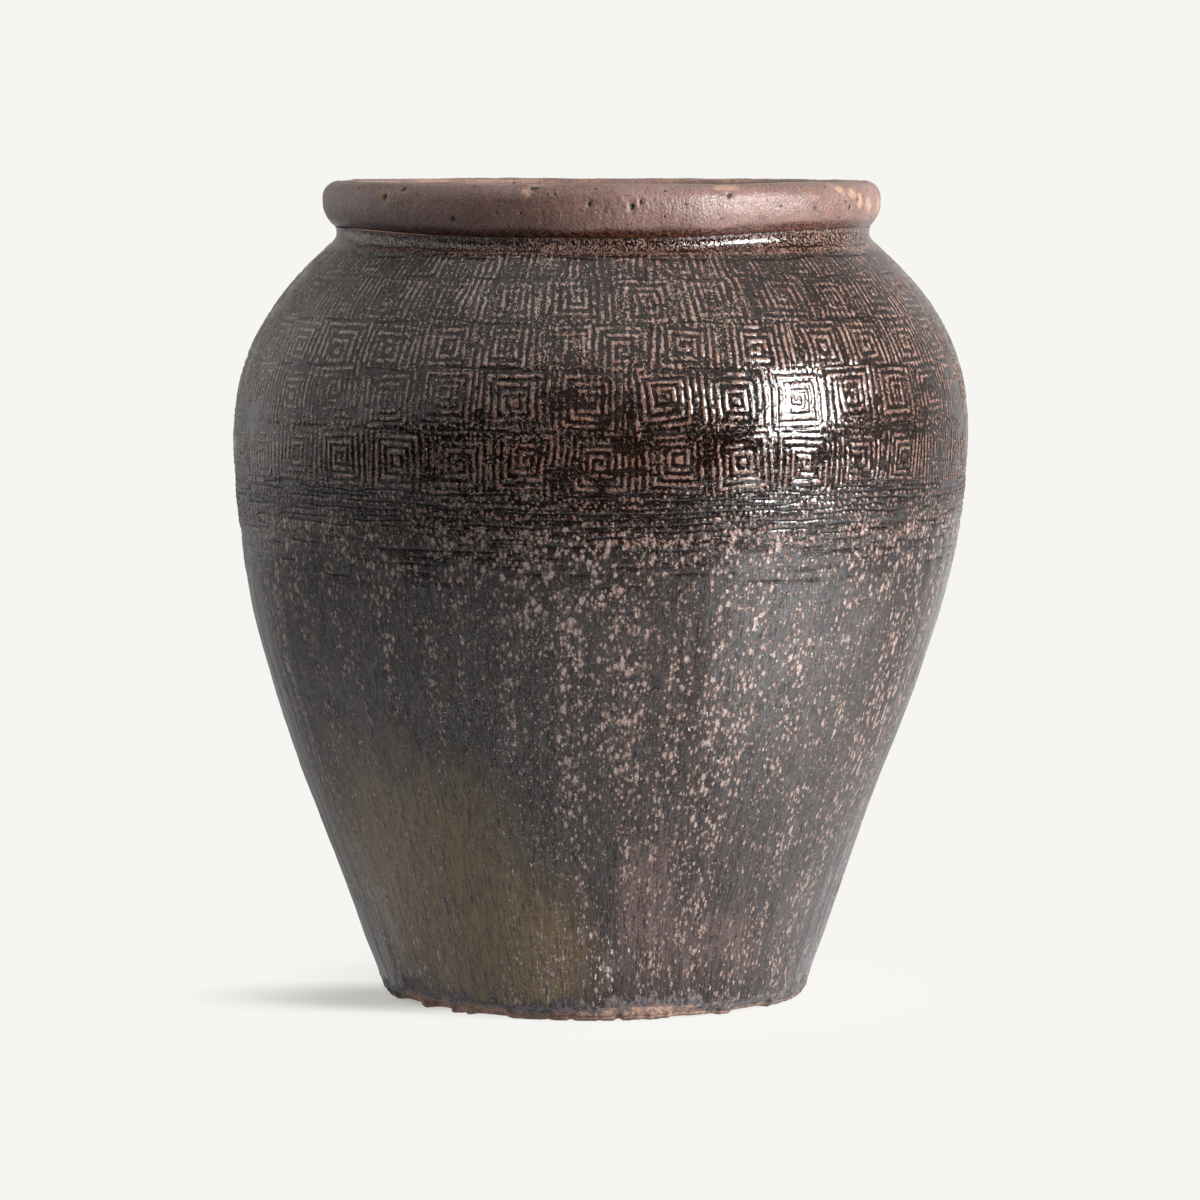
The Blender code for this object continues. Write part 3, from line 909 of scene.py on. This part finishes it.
def makeInsideGlaze(look):
    material, tree, shader = newMaterial("insideGlaze")
    place = objectPlace(tree)
    rings = noiseNode(place, 1.0, 3.0, 0.5, (9, 9, 190))
    cloud = noiseNode(place, 18, 4.0, 0.6)
    fine = noiseNode(place, 900, 2.0, 0.5)
    colour = mix(step(cloud, 0.35, 0.65), look["inside"], look["insidePale"])
    colour = mix(step(rings, 0.50, 0.72, 0.0, 0.5), colour, look["insideRing"])
    dress(shader, colour, step(cloud, 0.3, 0.7, 0.22, 0.45), rings + fine * 0.25, 0.5, 0.0006)
    return material


def makeRimClay(look):
    material, tree, shader = newMaterial("rimClay")
    place = objectPlace(tree)
    worn, pit, glossy, _ = mapChannels(tree, "rimMap")
    fine = noiseNode(place, 1500, 2.0, 0.6)
    grit = noiseNode(place, 620, 3.0, 0.6)
    medium = noiseNode(place, 95, 4.0, 0.6)
    cloud = noiseNode(place, 20, 3.0, 0.5)
    colour = mix(step(cloud, 0.35, 0.65), look["dark"], look["pale"])
    colour = mix(step(medium, 0.46, 0.68, 0.0, 0.55), colour, look["rust"])
    colour = mix(step(grit, 0.50, 0.72, 0.0, 0.55), colour, look["worn"])
    colour = mix(step(grit, 0.32, 0.45, 0.65, 0.0), colour, look["grit"])
    tan = step(worn + (medium - 0.5) * 0.9 + (grit - 0.5) * 1.5, 0.12, 1.10, 0.0, 0.70)
    colour = mix(tan, colour, look["tan"])

    # The wiped underside, where dark glaze stands in grains
    under = mix(step(fine * 0.4 + grit * 0.6, 0.45, 0.58), look["under"], look["underGrain"])
    colour = mix(glossy, colour, under)
    holes = larger(step(pit, 0.40, 0.70), sparseDots(place, 150, 0.15, 0.60) * (1.0 - glossy))
    colour = mix(holes, colour, look["hole"])
    shine = clamped(medium * 0.16 + 0.25 - glossy * 0.22 + tan * 0.22)
    dress(shader, colour, shine, grit * 0.00055 + fine * 0.00018 - holes * 0.0004)
    return material


def makeFootClay(look):
    material, tree, shader = newMaterial("footClay")
    place = objectPlace(tree)
    bare, crust, inner, _ = mapChannels(tree, "footMap")
    clay, grit, fine = clayColour(place, look)
    medium = noiseNode(place, 120, 4.0, 0.6)
    colour = mix(crust, look["brown"], crustColour(place, jar["footRadius"], look))
    inside = mix(step(medium, 0.35, 0.65), look["inside"], look["insidePale"])
    colour = mix(inner, mix(bare, colour, clay), inside)
    dress(shader, colour, clamped(bare * 0.35 + 0.52 - inner * 0.45), grit * 0.0007 + fine * 0.00025)
    return material


jarGlaze = makeBodyGlaze(bodyGlaze)
insideGlaze = makeInsideGlaze(bodyGlaze)
rimClay = makeRimClay(rimSlip)
footClay = makeFootClay(bodyGlaze)
print("made the glazes and clays")


# Wall pieces, from the foot up. A wall too fine for one piece is cut into bands.

walls = {
    "lowerWall": {"node": "lower_wall", "slot": "satin_glaze", "around": 960, "rows": 93, "bands": 1,
                  "levels": (jar["slabSeam"], jar["lowerSeam"])},
    "middleWall": {"node": "middle_wall", "slot": "spotted_glaze", "around": 960, "rows": 92, "bands": 1,
                   "levels": (jar["lowerSeam"], jar["middleSeam"])},
    "bellyWall": {"node": "belly_wall", "slot": "pooled_glaze", "around": 1920, "rows": 44, "bands": 2,
                  "levels": (jar["middleSeam"], jar["bellySeam"])},
    "shoulderWall": {"node": "shoulder_wall", "slot": "glossy_glaze", "around": 1920, "rows": 40,
                     "bands": 4, "levels": (jar["bellySeam"], jar["neckSeam"])},
    "neckBand": {"node": "neck_coil", "slot": "neck_glaze", "around": 1920, "rows": 28, "bands": 1,
                 "levels": (jar["neckSeam"], jar["rimBottom"])},
}


def innerEnd(level):  # the level where a joint comes out inside
    laps = {jar["slabSeam"]: jar["slabLap"], jar["neckSeam"]: 0, jar["rimBottom"]: jar["rimLap"]}
    return level + laps.get(level, jar["jointLap"])


for name, wall in walls.items():
    low, high = wall["levels"]
    innerLow, innerHigh = innerEnd(low), innerEnd(high)
    cuts = [levelAt(run) for run in np.linspace(runAt(low), runAt(high), wall["bands"] + 1)]
    for band in range(wall["bands"]):
        shares = [band / wall["bands"], (band + 1) / wall["bands"]]
        settings = dict(wall, innerAround=384, innerRows=max(6, wall["rows"] // 5))
        settings["levels"] = (float(cuts[band]), float(cuts[band + 1]))
        settings["innerLevels"] = [innerLow + (innerHigh - innerLow) * share for share in shares]
        throwWall(name if wall["bands"] == 1 else name + str(band + 1), settings)


# Rolled rim

rim = {
    "around": 240,
    "cuts": 4,  # made in each of those, so that nicks and pits come out sharp
    "section": 78,
    "sectionLength": 0.12,  # once round the section, for the noise
    "chipGauge": 0.162,  # radii that the widths of chips and pits are measured on
    "pitGauge": 0.164,
    "chips": [  # angle, level, half width, half height of worn places on the upper edge
        (-49.6, 0.4735, 0.0075, 0.0050), (-45.0, 0.4765, 0.0065, 0.0030), (-12.6, 0.4800, 0.0085, 0.0024),
        (-15.0, 0.4760, 0.0060, 0.0036), (26.0, 0.4785, 0.0130, 0.0030), (57.5, 0.4760, 0.0075, 0.0034),
        (62.0, 0.4738, 0.0070, 0.0042), (65.5, 0.4690, 0.0065, 0.0060), (71.0, 0.4670, 0.0075, 0.0070),
        (81.0, 0.4665, 0.0120, 0.0080), (120, 0.4790, 0.0140, 0.0032), (-110, 0.4750, 0.0080, 0.0050),
    ],
    "pits": [  # angle, level, half width, half height of the dark nicks
        (-49.1, 0.4725, 0.0019, 0.0026), (-44.4, 0.4770, 0.0026, 0.0016), (-13.7, 0.4785, 0.0030, 0.0014),
        (-2.5, 0.4690, 0.0014, 0.0014), (5.8, 0.4680, 0.0016, 0.0016), (7.5, 0.4702, 0.0015, 0.0015),
        (-31.0, 0.4620, 0.0016, 0.0014), (26.0, 0.4738, 0.0018, 0.0014), (64.7, 0.4712, 0.0018, 0.0028),
        (60.5, 0.4655, 0.0014, 0.0018), (48.0, 0.4655, 0.0013, 0.0015), (110, 0.4700, 0.0020, 0.0018),
        (155, 0.4730, 0.0028, 0.0016), (-95, 0.4690, 0.0018, 0.0022), (-140, 0.4760, 0.0026, 0.0016),
    ],
}


def rimSection(share):
    # Closed section, once round: down the outside, up the inside, over the flat land
    outerFoot = float(outerRadius(jar["rimBottom"]))
    innerFoot = float(innerPoint(coveBottom)[0]) - (outerFoot - jar["neckRadius"])
    widest = jar["top"] - jar["rimWidestDrop"]
    outer, inner = jar["rimOuterRound"], jar["rimInnerRound"]
    down, quarter = np.linspace(0, 1, 40), np.linspace(pi / 2, 0, 40)
    side = widest + (jar["rimBottom"] - widest) * down
    radii = np.concatenate([
        jar["rimRadius"] - outer + outer * np.cos(quarter),
        jar["rimRadius"] + (outerFoot - jar["rimRadius"]) * down**2,
        jar["mouthRadius"] + (innerFoot - jar["mouthRadius"]) * down[::-1] ** 2,
        jar["mouthRadius"] + inner - inner * np.sin(quarter),
    ])
    levels = np.concatenate([
        jar["top"] - outer + outer * np.sin(quarter), side,
        side[::-1], jar["top"] - inner + inner * np.cos(quarter),
    ])
    radii, levels = np.append(radii, radii[0]), np.append(levels, levels[0])
    gone = np.concatenate([[0], np.cumsum(np.hypot(np.diff(radii), np.diff(levels)))])
    return np.interp(share * gone[-1], gone, radii), np.interp(share * gone[-1], gone, levels)


def turnRim():
    piece, theta, climb = addRing("rimRoll", rim["around"], rim["section"], rim["cuts"])
    share = (0.25 - climb) % 1
    radius, level = rimSection(share)
    before, after = rimSection((share - 1e-3) % 1), rimSection((share + 1e-3) % 1)
    along = np.stack([after[0] - before[0], after[1] - before[1]])
    along /= np.linalg.norm(along, axis=0)
    noise, wave = noiseOver(theta, share * rim["sectionLength"])
    push = wave(0.060, 0.030, 301, 0.0014) + wave(0.012, 0.009, 302, 0.0005)
    push = push + wave(0.0026, 0.0026, 303, 0.00030)

    worn, pit = np.zeros_like(theta), np.zeros_like(theta)
    torn = wave(0.0055, 0.0045, 304, 0.6) + wave(0.0018, 0.0018, 308, 0.5)
    for angle, height, wide, tall in rim["chips"]:
        away = turnFrom(theta, angle) * radians(1) * rim["chipGauge"]
        close = 1 - np.hypot(away / wide, (level - height) / tall) + torn
        worn = np.maximum(worn, ease(-0.30, 0.90, close) * (radius > jar["mouthRadius"] + 0.005))
    torn = wave(0.0022, 0.0022, 307, 0.9)
    for angle, height, wide, tall in rim["pits"]:
        away = turnFrom(theta, angle) * radians(1) * rim["pitGauge"]
        reach = np.hypot(away / wide, (level - height) / tall) + torn
        pit = np.maximum(pit, np.exp(-(reach**2)) * (radius > jar["mouthRadius"] + 0.008))
    land = ease(jar["top"] - 0.0035, jar["top"] - 0.0008, level) * (1 - ease(0.1500, 0.1580, radius))
    edgeWear = land * (0.45 + 0.55 * ease(0.35, 0.60, noise(0.020, 0.010, 305)))

    push = (push - worn * 0.0004 - pit * 0.0013) * ease(0.0, 0.0025, level - jar["rimBottom"])
    height = level + along[0] * push
    placed = placeAt(theta, radius - along[1] * push, level, height + rimSag(theta, height))
    glossy = 1 - ease(0.0034, 0.0060, level - jar["rimBottom"] + wave(0.02, 0.01, 306, 0.002))
    storeMaps(piece, {"rimMap": (np.maximum(worn, edgeWear * 0.8), pit, glossy)})
    finishPiece(piece, placed, [rimClay], "rim_coil")


turnRim()


# Foot slab: underside, chipped edge and the floor inside

def footSection(share):
    # From the middle of the underside, out, up the edge, in over the lap and across the floor
    edge = np.linspace(0, 1, 12)
    turn, bend = foot["edgeRound"], edge * pi / 2
    side = turn + (jar["slabSeam"] - turn) * edge[1:]
    corner = outerRadius(0.0) - turn + turn * np.sin(bend)
    radii = np.concatenate([[0], corner, outerRadius(side), [foot["floorEdge"], 0]])
    levels = np.concatenate([[0], turn * (1 - np.cos(bend)), side, [jar["slabTop"]] * 2])
    marks = np.concatenate([[0], np.linspace(0.30, 0.72, len(radii) - 3), [0.78, 1]])
    return np.interp(share, marks, radii), np.interp(share, marks, levels)


def cutFoot():
    deselectAll()
    bpy.ops.mesh.primitive_uv_sphere_add(segments=foot["around"], ring_count=foot["rings"], radius=1)
    piece = bpy.context.object
    piece.name = piece.data.name = "footSlab"
    spots = coordinates(piece)
    theta = angleRound(spots)
    radius, level = footSection(np.arccos(np.clip(-spots[:, 2], -1, 1)) / pi)
    _, wave = noiseOver(theta, level)

    # The edge is worn and chipped, and meets the skin of the wall at the seam
    nearEdge = ease(foot["edgeRound"] * 5, 0, np.abs(outerRadius(level) - radius)) * (level < jar["slabSeam"])
    match = ease(jar["slabSeam"], jar["slabSeam"] - 0.0025, level)
    bite = footBite(theta, level) * (1 - ease(0.0030, 0.0078, level))
    push = wave(0.0024, 0.0024, 404, 0.0006) + wave(0.03, 0.05, 405, 0.0012) - bite
    depthAtSeam = skinAt(theta, runAt(np.full_like(level, jar["slabSeam"])))["depth"]
    radius = radius + nearEdge * (push * match + depthAtSeam * (1 - match * 0.5))
    lifted = footBite(theta, np.zeros_like(level)) * 0.75 * (1 - ease(0.001, 0.007, level))
    lifted = lifted * ease(0.012, 0.001, np.abs(radius - foot["liftRadius"]))

    marks = np.cos(radius * 2 * pi / foot["turningMarks"] + theta) * 0.00035 + wave(0.02, 0.02, 406, 0.0006)
    onFloor = level > jar["slabTop"] - 1e-4
    height = level + np.where(onFloor, marks * ease(0, 0.01, radius), lifted)
    bare, crust = footEdge(theta, level)
    storeMaps(piece, {"footMap": (bare, crust, level > jar["slabTop"] - 0.003)})
    finishPiece(piece, placeAt(theta, radius, level, height), [footClay], "base_slab")


cutFoot()


# Coil pressed into the corner between the floor and the wall, seen only from above

cornerRoll = {
    "around": 240,
    "section": 24,
    "floor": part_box("corner_coil")[0].z,
    "top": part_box("corner_coil")[1].z,
    "wallRadius": halfWidth("corner_coil"),
    "toe": 0.013,
}


def pressCorner():
    piece, theta, climb = addRing("cornerRoll", cornerRoll["around"], cornerRoll["section"])
    share = climb % 1
    floor, top, wall = cornerRoll["floor"], cornerRoll["top"], cornerRoll["wallRadius"]
    lowWall = wall - 0.0038
    toe = lowWall - cornerRoll["toe"]
    marks = [0, 0.12, 0.36, 0.55, 0.64, 0.70, 0.85, 1]
    radii = [wall, wall - 0.0018, wall - 0.0062, toe + 0.0038, toe + 0.0008, toe, lowWall, wall]
    levels = [top, top + 0.0001, floor + 0.0058, floor + 0.0027, floor + 0.0018, floor, floor, top]
    radius, level = np.interp(share, marks, radii), np.interp(share, marks, levels)
    _, wave = noiseOver(theta, level)
    facing = ease(0.02, 0.10, share) * (1 - ease(0.55, 0.66, share))
    radius = radius + facing * (wave(0.018, 0.02, 501, 0.0016) - np.abs(np.sin(theta * 24)) * 0.0005)
    finishPiece(piece, placeAt(theta, radius, level, level), [insideGlaze], "corner_coil")


pressCorner()


# Studio: pale floor, soft lights and the camera at the photograph's angle

studio = {
    "pale": (0.9216, 0.9131, 0.8796, 1),  # the photograph's background
    "paper": (0.80, 0.79, 0.765, 1),
    "floorRadius": 3.0,
    "tableEdge": (0.66, 1.10),  # the lit table ends between these distances, as reflections see it
    "tableLight": (0.985, 1.0, 1.03, 1),
    # strength of the painted pool of light that the floor glows with on the right
    "rightGlow": 3.9,
    "roomLight": (1.0, 0.99, 0.975, 1),
    "fill": 0.42,  # share of the room's brightness that lights the clay, next to what the glaze reflects
    "leftFill": 0.34,
    "backFill": 0.45,
    "keyPlace": (1.63, -0.92, 0.81),
    "keyTarget": (0.05, -0.10, 0.35),
    "keySize": (0.62, 0.70),
    "keyPower": 84,
    "cameraDistance": 3.3,
    "cameraHeight": 0.5158,
    "cameraShiftX": -0.00074,
    "cameraPitch": 4.9108,
    "lens": 167.6,
}


def makeFloor():
    deselectAll()
    bpy.ops.mesh.primitive_circle_add(vertices=128, radius=studio["floorRadius"], fill_type="NGON")
    floor = bpy.context.object
    floor.name = "floor"
    material, tree, shader = newMaterial("floorPaper")
    for key, value in (("Base Color", studio["paper"]), ("Roughness", 0.9), ("Specular IOR Level", 0.0)):
        shader.inputs[key].default_value = value
    path = addNode(tree, "LightPath")
    place = objectPlace(tree)
    parts = addNode(tree, "SeparateXYZ", Vector=place)
    across, along = out(parts, 0), out(parts, 1)
    away = out(addNode(tree, "VectorMath", {"operation": "LENGTH"}, i0=place), "Value")
    bearing = mathNode("ARCTAN2", across, along * -1.0)  # 0 in front, + to the right

    # What the jar reflects is painted light from a floor that glows though it is no lamp: a lit table that
    # ends in front, with a painted pool of light on its right in place of the key light's pool
    table = step(away, 0.20, 0.80, 0.96, 0.72) * step(away, *studio["tableEdge"], 1.0, 0.0)
    table = table * step(bearing, -2.0, -1.3, 0.48, 1.0)
    front = step(abs(bearing), 0.84, 1.05, 1.0, 0.0)
    beyond = step(away, *studio["tableEdge"]) * step(across, -0.8, 0.8, 0.40, 0.95) * (1.0 - front * 0.97)
    # Painted pool of light: the floor glows brighter to the right of the jar
    pool = step(bearing, 0.56, 0.70) * step(bearing, 0.85, 2.00, 1.0, 0.0)
    pool = pool * step(away, 0.16, 0.71, 0.03, 1.14)
    edge = step(bearing, -0.25, 0.35) * step(bearing, 1.2, 2.2, 1.0, 0.0)
    glow = (pool * studio["rightGlow"] + edge * 0.42) * step(away, 0.84, 1.16, 1.0, 0.0)

    # A soft shadow beside the foot, partly painted: inside this mask the camera sees the paper's real diffuse
    # shading, and the floor glow that the jar reflects is darkened as a painted shadow
    spanX = (across + 0.120) * (1 / 0.135)
    spanY = (along + 0.035) * (1 / 0.085)
    shaded = step(mathNode("SQRT", spanX * spanX + spanY * spanY), 0.15, 1.05, 0.62, 0.0)
    shaded = larger(shaded, step(away, 0.125, 0.22, 0.16, 0.0))
    # Painted shadow: the glow that the jar reflects is darkened under the shadow mask
    light = (table + beyond + glow) * (1.0 - shaded * 0.8)
    light = light * (out(path, "Is Diffuse Ray") * (studio["fill"] - 1) + 1.0)
    # The floor's painted glow, seen in the jar's reflections and lighting it from below, though the floor is
    # no lamp
    paintedGlow = addNode(tree, "Emission", Color=studio["tableLight"], Strength=light)

    # What the camera sees: the paper's own colour, and inside the shadow mask its real shading
    plain = addNode(tree, "Emission", Color=studio["pale"], Strength=1.0)
    seen = addNode(tree, "MixShader", Fac=shaded, i1=out(plain), i2=out(shader))
    both = addNode(tree, "MixShader", Fac=out(path, "Is Camera Ray"), i1=out(paintedGlow), i2=out(seen))
    plug(out(both), tree.nodes["Material Output"].inputs["Surface"])
    floor.data.materials.append(material)


def makeWorld():
    # A dark room in front, pale walls at the sides and behind, and a soft ceiling
    world = bpy.data.worlds.new("studio")
    bpy.context.scene.world = world
    world.use_nodes = True
    tree = world.node_tree
    tree.nodes.clear()
    path = addNode(tree, "LightPath")
    diffuse = out(path, "Is Diffuse Ray")
    parts = addNode(tree, "SeparateXYZ", Vector=out(addNode(tree, "TexCoord"), "Generated"))
    across, along, up = (out(parts, number) for number in range(3))
    ceiling = step(across * 0.10 - along * 0.18 + up, 0.46, 0.98, 0.0, 1.34)
    spill = step(across, 0.35, 0.85) * step(up, 0.18, 0.45) * step(along, -0.05, 0.55, 0.22, 0.0)
    leftWall = step(up * 1.1 + along, -0.50, -0.19) * step(along * 0.35 + up, -0.10, 0.06)
    leftWall = leftWall * step(across, -0.66, -0.40, 0.98, 0.0)
    lowGlow = step(up, 0.18, 0.45, 0.35, 0.0) * step(along, -0.05, 0.25, 1.0, 0.0)
    leftWall = leftWall * (lowGlow + 1.0)
    rightWall = step(up * 1.6 + across, 0.74, 1.02, 0.0, 0.52)
    behind = step(along, 0.25, 0.70) * step(across, -0.5, 0.5, 0.38, 0.78)
    level = larger(larger(leftWall, rightWall), larger(ceiling, behind)) + spill + 0.004

    # Soft light from the left and from behind reaches only the clay's own colour
    level = level * (diffuse * (studio["fill"] - 1) + 1.0)
    level = level + step(across, -0.95, 0.05, studio["leftFill"], 0.0) * diffuse
    level = level + step(along, -0.10, 0.80, 0.0, studio["backFill"]) * diffuse
    around = addNode(tree, "Background", Color=studio["roomLight"], Strength=level)
    seen = addNode(tree, "Background", Color=studio["pale"], Strength=1.0)
    both = addNode(tree, "MixShader", Fac=out(path, "Is Camera Ray"), i1=out(around), i2=out(seen))
    addNode(tree, "OutputWorld", Surface=out(both))


def addKeyLight():
    data = bpy.data.lights.new("keySoftbox", "AREA")
    data.shape = "RECTANGLE"
    data.size, data.size_y = studio["keySize"]
    data.energy = studio["keyPower"]
    light = bpy.data.objects.new("keySoftbox", data)
    bpy.context.scene.collection.objects.link(light)
    light.location = studio["keyPlace"]
    aim = Vector(studio["keyTarget"]) - Vector(studio["keyPlace"])
    light.rotation_euler = aim.to_track_quat("-Z", "Y").to_euler()
    light.visible_camera = False


def addCamera():
    data = bpy.data.cameras.new("camera")
    data.lens = studio["lens"]
    data.sensor_width = 36
    camera = bpy.data.objects.new("camera", data)
    bpy.context.scene.collection.objects.link(camera)
    camera.location = (studio["cameraShiftX"], -studio["cameraDistance"], studio["cameraHeight"])
    camera.rotation_euler = (radians(90 - studio["cameraPitch"]), 0, 0)
    bpy.context.scene.camera = camera
    bpy.context.scene.view_settings.view_transform = "Standard"


makeFloor()
makeWorld()
addKeyLight()
addCamera()
print("set the studio")
